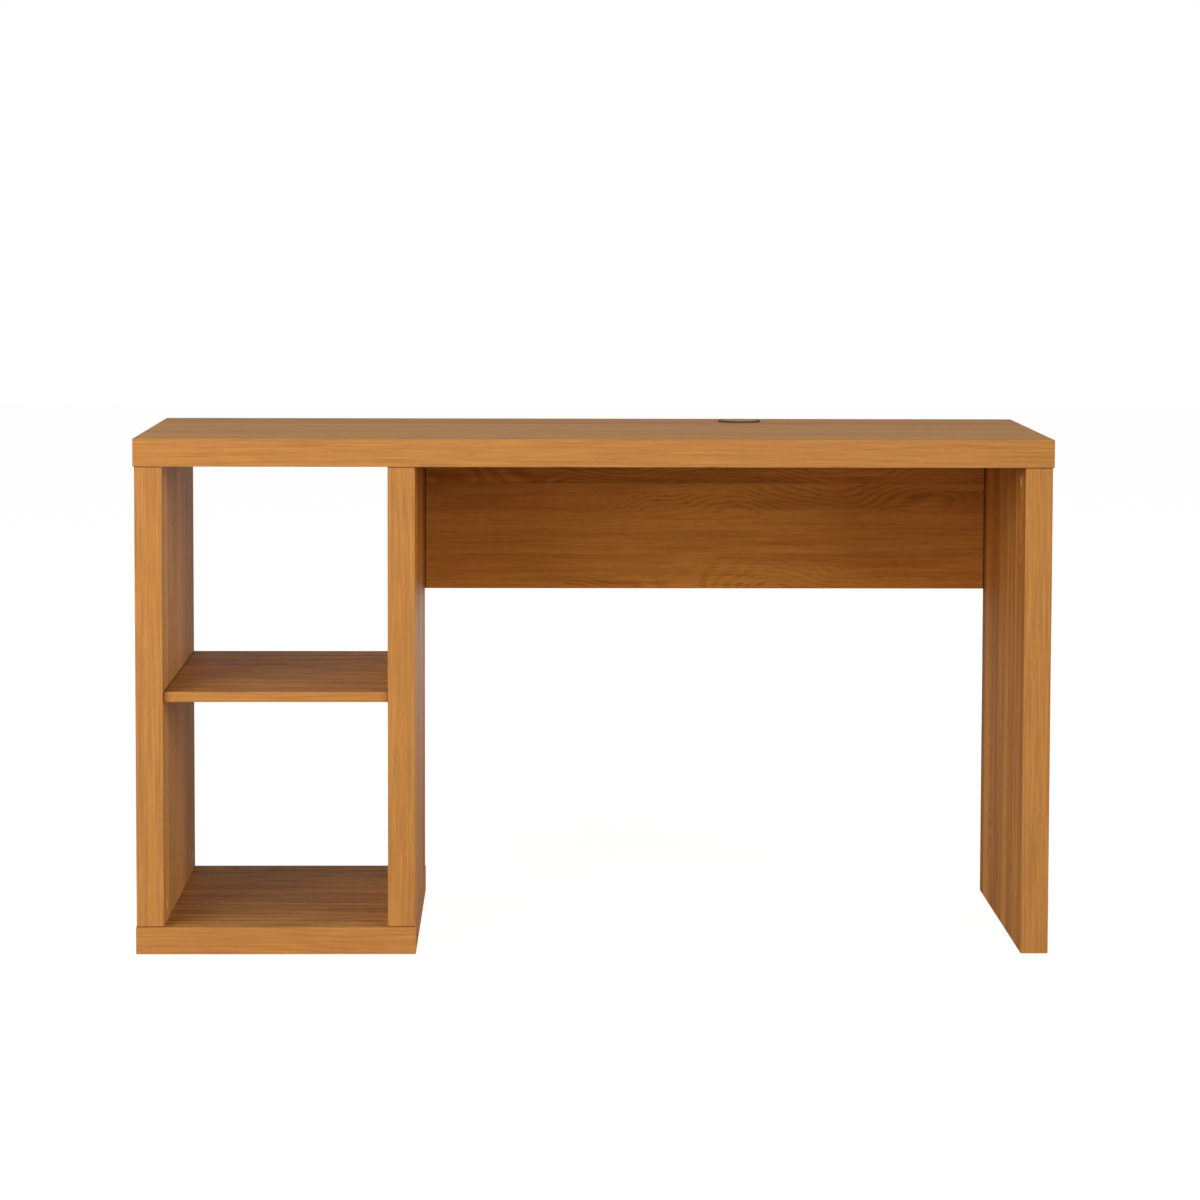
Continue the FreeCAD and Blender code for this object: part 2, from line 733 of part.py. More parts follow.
def grommet_liner():
    liner = turned("grommet_liner_body", [
        (lip_inner, ledge),
        (sleeve_inner, ledge),
        (sleeve_inner, "flange_height"),
        ("flange_radius", "flange_height"),
        ("flange_radius", "0"),
        (sleeve_outer, "0"),
        (sleeve_outer, "-sleeve_length"),
        (sleeve_inner, "-sleeve_length"),
        (sleeve_inner, lip_bottom),
        (lip_inner, lip_bottom),
    ])
    round_edges(
        liner, "flange_rounding", f"min(flange_round; {ROUND_SHARE} * flange_height)",
        circle_at(size_of("flange_radius"), size_of("flange_height")))
    rib_inner = f"({sleeve_outer} - sleeve_wall / 2)"
    rib_outer = f"({sleeve_outer} + rib_height)"
    profile = outline(liner, "rib_profile", "XY_Plane", [
        (rib_inner, "-rib_width / 2"),
        (rib_outer, "-rib_width / 2"),
        (rib_outer, "rib_width / 2"),
        (rib_inner, "rib_width / 2"),
    ])
    rib = liner.newObject("PartDesign::Pad", "rib")
    rib.Profile = profile
    rib.Reversed = True
    bind(rib, Length="sleeve_length")
    doc.recompute()
    ribs = liner.newObject("PartDesign::PolarPattern", "ribs")
    ribs.Originals = [rib]
    ribs.Axis = (profile, ["N_Axis"])
    ribs.Angle = 360
    ribs.Occurrences = RIB_COUNT
    liner.Tip = ribs
    doc.recompute()
    return place(liner, *grommet_at)


def grommet_lid():
    """A disc with a cable notch, three locating lugs and the shutter's pivot under it."""
    head_top = f"({ledge} - shutter_thick - 2 * shutter_gap)"
    disc = turned("grommet_lid_disc", [
        ("0", "flange_height"),
        (lid_radius, "flange_height"),
        (lid_radius, ledge),
        ("pivot_radius", ledge),
        ("pivot_radius", head_top),
        ("pivot_head_radius", head_top),
        ("pivot_head_radius", f"{head_top} - pivot_head_thick"),
        ("0", f"{head_top} - pivot_head_thick"),
    ])
    round_edges(
        disc, "lid_rounding", f"min(lid_round; {ROUND_SHARE} * lid_thick)",
        circle_at(size_of(lid_radius), size_of("flange_height")))
    pieces = [disc]
    for number, angle in enumerate(LUG_ANGLES, 1):
        turn = FreeCAD.Rotation(Z, angle - LUG_SWEEP / 2)
        foot = (0, 0, f"{ledge} - lug_length")
        wedge = cylinder(f"lug_wedge_{number}", lug_outer, "lug_length", foot, turn)
        wedge.Angle = LUG_SWEEP
        core = cylinder(f"lug_core_{number}", f"{lug_outer} - lug_thick", "lug_length", foot)
        pieces.append(cut(wedge, [core]))
    whole = fuse("grommet_lid_whole", pieces)
    notch_centre = "(notch_inner_radius + notch_width / 2)"
    notch_foot = f"{ledge} - lid_thick / 2"
    notch_height = "2 * lid_thick"
    notch_end = cylinder("notch_end", "notch_width / 2", notch_height, (notch_centre, 0, notch_foot))
    notch_way = box(
        "notch_way", (notch_centre, "-notch_width / 2", notch_foot),
        ("flange_radius", "notch_width", notch_height))
    lid = cut(whole, [fuse("grommet_notch", [notch_end, notch_way])])
    return group("grommet_lid", [copy_of(lid, "lid_in_place", grommet_at, FreeCAD.Rotation(Z, NOTCH_TURN))])


def grommet_shutter():
    """A sector plate turning on the lid's pivot, with a thumb rib standing in the notch."""
    plate_foot = f"({ledge} - shutter_gap - shutter_thick)"
    plate = cylinder(
        "shutter_plate", f"{lip_inner} - 2 * lid_gap", "shutter_thick", (0, 0, plate_foot),
        FreeCAD.Rotation(Z, -size_of("shutter_lead")))
    bind(plate, Angle="shutter_sweep")
    hub = cylinder("shutter_hub", "shutter_hub_radius", "shutter_thick", (0, 0, plate_foot))
    rib = box(
        "thumb_rib", ("thumb_rib_radius", "-thumb_rib_width / 2", plate_foot),
        ("thumb_rib_length", "thumb_rib_width", "shutter_thick + shutter_gap + lid_thick - lid_round"))
    bore = cylinder(
        "shutter_bore", "pivot_radius + pivot_gap", "3 * shutter_thick",
        (0, 0, f"{plate_foot} - shutter_thick"))
    shutter = cut(fuse("shutter_whole", [plate, hub, rib]), [bore])
    turn = FreeCAD.Rotation(Z, NOTCH_TURN + size_of("thumb_rib_angle"))
    return group("grommet_shutter", [copy_of(shutter, "shutter_in_place", grommet_at, turn)])


node(grommet_liner(), "grommet_liner")
node(grommet_lid(), "grommet_lid")
node(grommet_shutter(), "grommet_shutter")

# Check every object, then write one file for each sub-part

doc.recompute()
failed = [item.Name for item in doc.Objects if {"Invalid", "Error"} & set(item.State)]
if failed:
    raise RuntimeError("objects that failed: " + ", ".join(failed))
for item in nodes:
    if item.Shape.isNull() or not item.Shape.isValid() or not item.Shape.Solids:
        raise RuntimeError("no valid solid in " + item.Label)

os.makedirs("parts", exist_ok=True)
for item in nodes:
    item.Shape.exportStep(f"parts/{item.Label}.step")
print(len(nodes), "nodes,", sum(len(item.Shape.Solids) for item in nodes), "solids")
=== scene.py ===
import math
import bmesh
import bpy
from mathutils import Euler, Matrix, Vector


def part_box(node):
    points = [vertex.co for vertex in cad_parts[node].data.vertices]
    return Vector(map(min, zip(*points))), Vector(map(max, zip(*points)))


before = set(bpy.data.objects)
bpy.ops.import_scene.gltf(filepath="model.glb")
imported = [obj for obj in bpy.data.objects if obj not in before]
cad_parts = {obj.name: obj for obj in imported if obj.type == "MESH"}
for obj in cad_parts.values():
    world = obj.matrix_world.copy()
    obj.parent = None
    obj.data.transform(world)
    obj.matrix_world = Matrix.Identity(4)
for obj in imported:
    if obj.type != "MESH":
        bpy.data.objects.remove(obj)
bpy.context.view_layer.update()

scene = bpy.context.scene
scene.view_settings.view_transform = "Standard"


# node helpers

mixSockets = {"share": 0, "first": 6, "second": 7, "result": 2}   # of a Mix node set to colours
falling = (1.0, 0.0)
middle = 0.5                                                      # what noise and waves swing about
fold = 0.5                                                        # a period of 1, there and back
opaque = (1.0,)
white = (1.0, 1.0, 1.0, 1.0)


def feed(tree, socket, value):  # a plain value or another node's output
    if isinstance(value, bpy.types.NodeSocket):
        tree.links.new(value, socket)
    else:
        socket.default_value = value


def addNode(tree, kind, inputs=None, **settings):
    made = tree.nodes.new(kind)
    for key, value in settings.items():
        setattr(made, key, value)
    for key, value in (inputs or {}).items():
        feed(tree, made.inputs[key], value)
    return made


def math2(tree, operation, first, second=0.0, clamp=False):
    sums = addNode(tree, "ShaderNodeMath", {0: first, 1: second}, operation=operation, use_clamp=clamp)
    return sums.outputs[0]


def vectorMath(tree, operation, first, second):
    return addNode(tree, "ShaderNodeVectorMath", {0: first, 1: second}, operation=operation).outputs[0]


def spread(tree, value, span, ends=(0.0, 1.0)):  # smooth remap from span to ends, clamped
    remap = addNode(tree, "ShaderNodeMapRange", interpolation_type="SMOOTHSTEP")
    for socket, number in zip(remap.inputs, (value, *span, *ends)):
        feed(tree, socket, number)
    return remap.outputs[0]


def blendColour(tree, share, first, second):
    mix = addNode(tree, "ShaderNodeMix", data_type="RGBA", blend_type="MIX")
    for name, value in (("share", share), ("first", first), ("second", second)):
        feed(tree, mix.inputs[mixSockets[name]], value)
    return mix.outputs[mixSockets["result"]]


def stretchedNoise(tree, vector, look):  # look: rate in a metre, detail and roughness
    stretched = vectorMath(tree, "MULTIPLY", vector, look["rate"])
    noise = addNode(tree, "ShaderNodeTexNoise", {
        "Vector": stretched, "Scale": 1.0, "Detail": look["detail"], "Roughness": look["rough"]})
    return noise.outputs["Fac"]


def newGroup(name, inputs, outputs):
    tree = bpy.data.node_groups.new(name, "ShaderNodeTree")
    for title, kind, default in inputs:
        socket = tree.interface.new_socket(title, in_out="INPUT", socket_type=kind)
        if default is not None:
            socket.default_value = default
    for title, kind in outputs:
        tree.interface.new_socket(title, in_out="OUTPUT", socket_type=kind)
    start = tree.nodes.new("NodeGroupInput")
    end = tree.nodes.new("NodeGroupOutput")
    return tree, start.outputs, end.inputs


colourKind, valueKind, vectorKind = "NodeSocketColor", "NodeSocketFloat", "NodeSocketVector"
surfaceOut = [("Color", colourKind), ("Roughness", valueKind), ("Height", valueKind)]


# oak print: planks, tone strips, growth rings, fine grain and pores, along X of the vector

oakPrint = {   # rates in a metre: along the grain, then twice across it
    "jump": (3.0, 3.0, 3.0),                                      # sets the planks apart in the pattern
    "seam": 0.0009,                                               # half width of a plank line
    "drift": {"rate": (1.7, 5.0, 5.0), "detail": 2.0, "rough": 0.5, "reach": 0.014},   # waviness
    "strips": {"rate": (0.6, 15.0, 15.0), "detail": 3.0, "rough": 0.6, "span": (0.28, 0.72)},
    "streaks": {"rate": (5.0, 70.0, 70.0), "detail": 6.0, "rough": 0.75,
                "span": (0.42, 0.66), "level": 0.35},             # darker wisps, about 15 mm wide
    "field": {"rate": (4.5, 10.0, 10.0), "detail": 1.5, "rough": 0.5, "reach": 18.0},  # bends the rings
    "rings": {"rate": 90.0, "span": (0.08, 0.42)},
    "patch": {"rate": (2.6, 9.0, 9.0), "detail": 2.0, "rough": 0.5, "span": (0.42, 0.58)},
    "border": (0.02, 0.08),                                       # rings stay near the plank lines
    "fine": {"rate": 8.0, "detail": 3.0, "rough": 0.65, "dull": 0.12, "relief": 0.4},
    "pores": {"rate": (70.0, 560.0, 560.0), "detail": 1.0, "rough": 0.5,
              "span": (0.56, 0.7), "follow": 1.6, "dull": 0.1},   # short dark dashes along the rings
}


def makeOakGroup():
    tree, given, out = newGroup("oakPrint", [
        ("Vector", vectorKind, None),
        ("Light", colourKind, (0.6, 0.3, 0.08, 1.0)),
        ("Deep", colourKind, (0.4, 0.16, 0.04, 1.0)),
        ("Pore", colourKind, (0.2, 0.08, 0.02, 1.0)),
        ("Plank Width", valueKind, 0.1),
        ("Plank Shift", valueKind, 0.0),
        ("Planks", valueKind, 0.2),
        ("Strips", valueKind, 0.3),
        ("Streaks", valueKind, 0.3),
        ("Figure", valueKind, 0.3),
        ("Fine", valueKind, 0.3),
        ("Pores", valueKind, 0.3),
        ("Lines", valueKind, 420.0),                              # grain lines in a metre
        ("Matt", valueKind, 0.62),
    ], surfaceOut)
    look = oakPrint
    across = addNode(tree, "ShaderNodeSeparateXYZ", {0: given["Vector"]}).outputs["Y"]
    row = math2(tree, "ADD", math2(tree, "DIVIDE", across, given["Plank Width"]), given["Plank Shift"])
    index = math2(tree, "FLOOR", row)
    chance = addNode(tree, "ShaderNodeTexWhiteNoise", {"W": index}, noise_dimensions="1D")
    jump = vectorMath(tree, "MULTIPLY", chance.outputs["Color"], look["jump"])
    start = vectorMath(tree, "ADD", given["Vector"], jump)
    edge = math2(tree, "PINGPONG", row, fold)                     # 0 at a plank line
    inward = math2(tree, "MULTIPLY", edge, given["Plank Width"])
    seam = spread(tree, inward, (0.0, look["seam"]), falling)

    drift = math2(tree, "SUBTRACT", stretchedNoise(tree, start, look["drift"]), middle)
    shift = math2(tree, "MULTIPLY", drift, look["drift"]["reach"])
    sideways = addNode(tree, "ShaderNodeCombineXYZ", {"Y": shift, "Z": shift})
    lay = vectorMath(tree, "ADD", start, sideways.outputs[0])

    strips = spread(tree, stretchedNoise(tree, lay, look["strips"]), look["strips"]["span"])
    strips = math2(tree, "SUBTRACT", strips, middle)
    streaks = spread(tree, stretchedNoise(tree, lay, look["streaks"]), look["streaks"]["span"])
    streaks = math2(tree, "SUBTRACT", streaks, look["streaks"]["level"])

    field = math2(tree, "MULTIPLY", stretchedNoise(tree, lay, look["field"]), look["field"]["reach"])
    laid = addNode(tree, "ShaderNodeSeparateXYZ", {0: lay})
    straight = math2(tree, "ADD", laid.outputs["Y"], laid.outputs["Z"])
    phase = math2(tree, "ADD", field, math2(tree, "MULTIPLY", straight, look["rings"]["rate"]))
    rings = spread(tree, math2(tree, "PINGPONG", phase, fold), look["rings"]["span"])
    rings = math2(tree, "SUBTRACT", rings, middle)
    patch = spread(tree, stretchedNoise(tree, lay, look["patch"]), look["patch"]["span"])
    border = spread(tree, inward, look["border"], falling)
    rings = math2(tree, "MULTIPLY", math2(tree, "MULTIPLY", rings, patch), border)

    pitch = addNode(tree, "ShaderNodeCombineXYZ", {
        "X": look["fine"]["rate"], "Y": given["Lines"], "Z": given["Lines"]})
    fine = stretchedNoise(tree, lay, {**look["fine"], "rate": pitch.outputs[0]})
    fine = math2(tree, "SUBTRACT", fine, middle)
    early = math2(tree, "MULTIPLY", rings, look["pores"]["follow"])
    early = math2(tree, "ADD", early, middle, clamp=True)
    dashes = spread(tree, stretchedNoise(tree, lay, look["pores"]), look["pores"]["span"])
    pores = math2(tree, "MULTIPLY", dashes, early)

    tone = math2(tree, "ADD", math2(tree, "MULTIPLY", strips, given["Strips"]), middle)
    plank = math2(tree, "SUBTRACT", chance.outputs["Value"], middle)
    for part, weight in ((plank, "Planks"), (streaks, "Streaks"), (rings, "Figure"), (fine, "Fine")):
        tone = math2(tree, "ADD", tone, math2(tree, "MULTIPLY", part, given[weight]))
    wood = blendColour(tree, math2(tree, "ADD", tone, clamp=True), given["Light"], given["Deep"])
    line = math2(tree, "MULTIPLY", seam, given["Planks"])
    dark = math2(tree, "MAXIMUM", math2(tree, "MULTIPLY", pores, given["Pores"]), line, clamp=True)
    tree.links.new(blendColour(tree, dark, wood, given["Pore"]), out["Color"])

    dull = math2(tree, "ADD", math2(tree, "MULTIPLY", fine, look["fine"]["dull"]), given["Matt"])
    dull = math2(tree, "ADD", dull, math2(tree, "MULTIPLY", pores, look["pores"]["dull"]), clamp=True)
    tree.links.new(dull, out["Roughness"])
    height = math2(tree, "SUBTRACT", math2(tree, "MULTIPLY", fine, look["fine"]["relief"]), pores)
    tree.links.new(height, out["Height"])
    return tree


# moulded plastic: fine pebble and faint flow marks

mouldedLook = {
    "flow": {"rate": (40.0, 40.0, 90.0), "detail": 3.0, "rough": 0.5, "span": (0.3, 0.7)},
    "pebble": {"rate": (2200.0, 2200.0, 2200.0), "detail": 2.0, "rough": 0.5, "share": 0.3},
    "tone": (0.4, 0.9),
    "dull": (0.58, 0.7),
}


def makeMouldedGroup():
    tree, given, out = newGroup("mouldedPlastic", [
        ("Vector", vectorKind, None),
        ("Light", colourKind, (0.2, 0.1, 0.05, 1.0)),
        ("Deep", colourKind, (0.1, 0.05, 0.02, 1.0)),
    ], surfaceOut)
    look = mouldedLook
    flow = stretchedNoise(tree, given["Vector"], look["flow"])
    pebble = stretchedNoise(tree, given["Vector"], look["pebble"])
    tone = math2(tree, "ADD", flow, math2(tree, "MULTIPLY", pebble, look["pebble"]["share"]))
    share = spread(tree, tone, look["tone"])
    tree.links.new(blendColour(tree, share, given["Deep"], given["Light"]), out["Color"])
    tree.links.new(spread(tree, flow, look["flow"]["span"], look["dull"]), out["Roughness"])
    tree.links.new(pebble, out["Height"])
    return tree


# hardware metal: tumbled or plated, with fine scratches

metalLook = {
    "cloud": {"rate": (120.0, 120.0, 120.0), "detail": 3.0, "rough": 0.5, "span": (0.3, 0.7)},
    "scratch": {"rate": (60.0, 1800.0, 1800.0), "detail": 2.0, "rough": 0.5},
    "worn": (0.6, 1.4),
    "dull": (0.28, 0.5),
}


def makeMetalGroup():
    tree, given, out = newGroup("hardwareMetal", [
        ("Vector", vectorKind, None),
        ("Light", colourKind, (0.7, 0.7, 0.7, 1.0)),
        ("Deep", colourKind, (0.4, 0.4, 0.4, 1.0)),
    ], surfaceOut)
    look = metalLook
    cloud = stretchedNoise(tree, given["Vector"], look["cloud"])
    scratch = stretchedNoise(tree, given["Vector"], look["scratch"])
    share = spread(tree, cloud, look["cloud"]["span"])
    worn = math2(tree, "ADD", cloud, scratch)
    tree.links.new(blendColour(tree, share, given["Deep"], given["Light"]), out["Color"])
    tree.links.new(spread(tree, worn, look["worn"], look["dull"]), out["Roughness"])
    tree.links.new(scratch, out["Height"])
    return tree


# raw particle board and raw beech, inside the panels

rawLook = {
    "chips": {"rate": 260.0, "share": 0.7},
    "dust": {"rate": (700.0, 700.0, 700.0), "detail": 2.0, "rough": 0.5, "share": 0.4, "span": (0.2, 0.8)},
    "dull": (0.7, 0.95),
}


def makeChipGroup():
    tree, given, out = newGroup("pressedChips", [
        ("Vector", vectorKind, None),
        ("Light", colourKind, (0.6, 0.45, 0.28, 1.0)),
        ("Deep", colourKind, (0.35, 0.22, 0.12, 1.0)),
    ], surfaceOut)
    look = rawLook
    chips = addNode(tree, "ShaderNodeTexVoronoi", {
        "Vector": given["Vector"], "Scale": look["chips"]["rate"]})
    each = addNode(tree, "ShaderNodeSeparateColor", {0: chips.outputs["Color"]}).outputs[0]
    dust = stretchedNoise(tree, given["Vector"], look["dust"])
    share = math2(tree, "MULTIPLY", each, look["chips"]["share"])
    share = math2(tree, "ADD", share, math2(tree, "MULTIPLY", dust, look["dust"]["share"]), clamp=True)
    tree.links.new(blendColour(tree, share, given["Deep"], given["Light"]), out["Color"])
    tree.links.new(spread(tree, dust, look["dust"]["span"], look["dull"]), out["Roughness"])
    tree.links.new(math2(tree, "ADD", each, dust), out["Height"])
    return tree


# painted shade: a dark line where two pieces meet, in place of the shadow in the gap between them, at one
# place along an axis

def makeJointShadowGroup():
    tree, given, out = newGroup("paintedJointShadow", [
        ("Along", valueKind, 0.0), ("Place", valueKind, 0.0), ("Width", valueKind, 0.001),
    ], [("Shade", valueKind)])
    away = math2(tree, "ABSOLUTE", math2(tree, "SUBTRACT", given["Along"], given["Place"]))
    tree.links.new(spread(tree, away, (0.0, given["Width"]), falling), out["Shade"])
    return tree


jointShadowGroup = makeJointShadowGroup()
oakGroup = makeOakGroup()
mouldedGroup = makeMouldedGroup()
metalGroup = makeMetalGroup()
chipGroup = makeChipGroup()
print("groups:", len(bpy.data.node_groups))


# materials

grainTurn = {                                   # brings the grain direction to the pattern's X
    "x": (0.0, 0.0, 0.0),
    "y": (0.0, 0.0, math.radians(-90.0)),
    "z": (0.0, math.radians(90.0), 0.0),
    "xUpright": (math.radians(90.0), 0.0, 0.0),
}
# colour of the painted shade in the gaps along the joints
jointShadowColour = (0.06, 0.022, 0.006, 1.0)
reliefDepth = 0.0002                            # metres, at a bump of 1


def makeMaterial(name, group, values, bump, gloss, metallic=0.0,
                 turn="x", offset=(0.0, 0.0, 0.0), joints=()):
    material = bpy.data.materials.new(name)
    material.use_nodes = True
    tree = material.node_tree
    tree.nodes.clear()
    coords = addNode(tree, "ShaderNodeTexCoord")
    placed = addNode(tree, "ShaderNodeMapping", {
        "Vector": coords.outputs["Object"], "Rotation": grainTurn[turn], "Location": offset})
    look = addNode(tree, "ShaderNodeGroup", node_tree=group)
    tree.links.new(placed.outputs[0], look.inputs["Vector"])
    for key, value in values.items():
        look.inputs[key].default_value = value
    relief = addNode(tree, "ShaderNodeBump", {
        "Strength": bump, "Distance": reliefDepth, "Height": look.outputs["Height"]})
    colour = look.outputs["Color"]
    # painted shade: the joint lines darken the colour where the gap shadows fall
    if joints:
        along = addNode(tree, "ShaderNodeSeparateXYZ", {0: coords.outputs["Object"]})
    for axis, place, width in joints:
        shade = addNode(tree, "ShaderNodeGroup", node_tree=jointShadowGroup)
        tree.links.new(along.outputs[axis], shade.inputs["Along"])
        shade.inputs["Place"].default_value = place
        shade.inputs["Width"].default_value = width
        colour = blendColour(tree, shade.outputs[0], colour, jointShadowColour)
    shader = addNode(tree, "ShaderNodeBsdfPrincipled", {
        "Base Color": colour, "Roughness": look.outputs["Roughness"],
        "Normal": relief.outputs[0], "Metallic": metallic, "Specular IOR Level": gloss})
    finish = addNode(tree, "ShaderNodeOutputMaterial")
    tree.links.new(shader.outputs[0], finish.inputs["Surface"])
    return material


def dress(material, nodes):
    for name in nodes:
        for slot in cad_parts[name].material_slots:
            slot.material = material


# wood faces and bands

honeyOak = {                                    # colours of the face foil
    "Light": (0.66, 0.285, 0.058, 1.0),
    "Deep": (0.38, 0.138, 0.024, 1.0),
    "Pore": (0.20, 0.065, 0.012, 1.0),
}
printAndShadeTints = {                                       # how each piece departs from those colours: partly its print, partly painted light and shade, lit and shaded copies of one foil
    "edge": (1.13, 1.16, 1.28),
    "back": (1.15, 1.08, 1.0),
    "inner": (1.2, 1.16, 0.86),
    "leg": (1.14, 1.12, 1.0),
    # painted light: the left side is lightened the most
    "left": (1.18, 1.31, 1.09),
    "flat": (0.97, 1.09, 1.13),
    "low": (0.87, 0.98, 1.05),
    "top": (0.98, 1.04, 0.92),
}
weightNames = ("Planks", "Strips", "Streaks", "Figure", "Fine", "Pores")
panelFinish = {   # planks: width and shift; weights: planks, strips, streaks, figure, fine, pores
    "top": {"turn": "x", "offset": (0.0, 0.11, 0.0), "planks": (0.125, 0.3), "lines": 420.0,
            "weights": (0.3, 0.4, 0.3, 0.2, 1.4, 0.3),
            "tint": "top", "gloss": 0.165, "matt": 0.62, "bump": 0.15},
    "base": {"turn": "x", "offset": (3.1, 0.4, 0.2), "planks": (0.11, 0.2), "lines": 420.0,
             "weights": (0.5, 0.8, 1.4, 0.4, 2.0, 1.0),
             "tint": "low", "gloss": 0.108, "matt": 0.68, "bump": 0.35},
    "shelf": {"turn": "x", "offset": (5.7, 0.9, 0.1), "planks": (0.12, 0.6), "lines": 420.0,
              "weights": (0.5, 0.8, 1.4, 0.4, 2.0, 1.0),
              "tint": "flat", "gloss": 0.126, "matt": 0.68, "bump": 0.35},
    "modesty": {"turn": "xUpright", "offset": (5.23, -0.097, 0.03), "planks": (0.19, 0.0), "lines": 420.0,
                "weights": (0.5, 0.8, 0.3, 0.36, 1.5, 0.5),
                "tint": "back", "gloss": 0.05, "matt": 0.65, "bump": 0.15},
    "left_side": {"turn": "z", "offset": (0.7, 0.3, 0.0), "planks": (0.07, 0.0), "lines": 420.0,
                  "weights": (0.5, 0.5, 0.4, 0.2, 1.6, 0.8),
                  "tint": "left", "gloss": 0.19, "matt": 0.62, "bump": 0.2},
    "divider": {"turn": "z", "offset": (2.9, 0.1, 0.3), "planks": (0.1, 0.0), "lines": 420.0,
                "weights": (0.9, 0.9, 0.4, 0.3, 1.2, 0.5),
                "tint": "inner", "gloss": 0.48, "matt": 0.48, "bump": 0.15},
    "right_leg": {"turn": "z", "offset": (4.3, 0.7, 0.5), "planks": (0.07, 0.0), "lines": 420.0,
                  "weights": (1.0, 1.1, 0.4, 0.3, 1.2, 0.5),
                  "tint": "leg", "gloss": 0.23, "matt": 0.62, "bump": 0.15},
}
awayFinish = {"tint": "leg", "gloss": 0.21, "matt": 0.62}         # faces the photo doesn't show
awayFaces = {"left_side": "_outer_skin", "divider": "_left_skin"}
bandFinish = {"planks": (10.0, 0.5), "lines": 400.0,              # one plank, wider than any band
              "weights": (0.0, 0.06, 0.0, 0.0, 1.7, 0.25),
              "tint": "edge", "gloss": 0.3, "matt": 0.62, "bump": 0.1}
bandTurn = {"x": "x", "xUpright": "x", "z": "z"}                  # grain runs along a band
flats = ("top", "base")                                           # these have bands on their ends too

jointShadowWidth = {"foot": 0.0028, "head": 0.002, "boardEnd": 0.003, "shelfEdge": 0.0016}   # of the painted shade lines at the joints
topUnder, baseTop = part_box("top_lower_skin")[0].z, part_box("base_upper_skin")[1].z
boardEnds = {panel: [corner.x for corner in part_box(panel + "_board")] for panel in ("shelf", "modesty")}
# painted shade lines: at the uprights' feet, under the top and at the board ends
foot, head = ("Z", baseTop, jointShadowWidth["foot"]), ("Z", topUnder, jointShadowWidth["head"])
faceJointShadows = {panel: [("X", end, jointShadowWidth["boardEnd"]) for end in ends]
              for panel, ends in boardEnds.items()}
bandJointShadows = {
    "left_side": [foot, head],
    "divider": [foot, head],
    "right_leg": [head],
    "shelf": [("X", end, jointShadowWidth["shelfEdge"]) for end in boardEnds["shelf"]],
    "modesty": faceJointShadows["modesty"],
}


def makeOak(name, look, joints=()):
    tint = printAndShadeTints[look["tint"]] + opaque
    values = {title: [part * scale for part, scale in zip(colour, tint)]
              for title, colour in honeyOak.items()}
    values.update(zip(weightNames, look["weights"]))
    values.update(zip(("Plank Width", "Plank Shift"), look["planks"]))
    values.update({"Lines": look["lines"], "Matt": look["matt"]})
    return makeMaterial(name, oakGroup, values, look["bump"], look["gloss"],
                        turn=look["turn"], offset=look["offset"], joints=joints)


def nodesOf(panel, *endings):
    return [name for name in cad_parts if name.startswith(panel + "_") and name.endswith(endings)]


def finishPanels():
    for panel, look in panelFinish.items():
        face = makeOak(panel + "Face", look, faceJointShadows.get(panel, ()))
        dress(face, nodesOf(panel, "_skin", "_board"))
        if panel in awayFaces:
            dress(makeOak(panel + "Away", {**look, **awayFinish}), nodesOf(panel, awayFaces[panel]))
        band = {**bandFinish, "offset": look["offset"], "turn": bandTurn[look["turn"]]}
        edge = makeOak(panel + "Edge", band, bandJointShadows.get(panel, ()))
        dress(edge, nodesOf(panel, "_edge_bands", "_edge_band"))
        if panel in flats:
            dress(makeOak(panel + "Ends", {**band, "turn": "y"}), nodesOf(panel, "_end_bands"))


finishPanels()


# fittings and the inside of the panels

coreEndings = ("_stile", "_rail", "_batten", "_battens", "_block")
smallGloss = 0.12
smallFinish = {
    "rawCore": {"group": chipGroup, "light": (0.55, 0.40, 0.25), "deep": (0.33, 0.21, 0.11),
                "bump": 0.4, "metallic": 0.0,
                "nodes": [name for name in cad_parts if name.endswith(coreEndings)]},
    "castCam": {"group": metalGroup, "light": (0.62, 0.62, 0.63), "deep": (0.44, 0.44, 0.45),
                "bump": 0.15, "metallic": 1.0, "nodes": ["panel_cam_locks", "board_cam_locks"]},
    "platedSteel": {"group": metalGroup, "light": (0.70, 0.70, 0.72), "deep": (0.52, 0.52, 0.55),
                    "bump": 0.1, "metallic": 1.0, "nodes": ["cam_bolts", "glide_nails"]},
    "rawBeech": {"group": chipGroup, "light": (0.72, 0.52, 0.33), "deep": (0.58, 0.40, 0.24),
                 "bump": 0.2, "metallic": 0.0, "nodes": ["dowels"]},
    "honeyCap": {"group": mouldedGroup, "light": (0.80, 0.50, 0.19), "deep": (0.70, 0.41, 0.14),
                 "bump": 0.08, "metallic": 0.0, "nodes": ["cam_covers"]},
    "brownGlide": {"group": mouldedGroup, "light": (0.12, 0.07, 0.04), "deep": (0.08, 0.045, 0.025),
                   "bump": 0.1, "metallic": 0.0, "nodes": ["glides"]},
    "grommetRim": {"group": mouldedGroup, "light": (0.17, 0.08, 0.034), "deep": (0.12, 0.052, 0.021),
                   "bump": 0.1, "metallic": 0.0, "nodes": ["grommet_liner"]},
    "grommetCap": {"group": mouldedGroup, "light": (0.54, 0.31, 0.15), "deep": (0.44, 0.24, 0.11),
                   "bump": 0.1, "metallic": 0.0, "nodes": ["grommet_lid", "grommet_shutter"]},
}


def finishSmallPieces():
    for name, look in smallFinish.items():
        values = {"Light": look["light"] + opaque, "Deep": look["deep"] + opaque}
        material = makeMaterial(name, look["group"], values, look["bump"], smallGloss, look["metallic"])
        dress(material, look["nodes"])


finishSmallPieces()
print("materials:", len(bpy.data.materials))


# floor: pale, white to the camera, with a soft shadow left in it

floorLook = {"half": 14.0, "bounce": 0.55, "shadow": 0.32, "glow": 0.92}


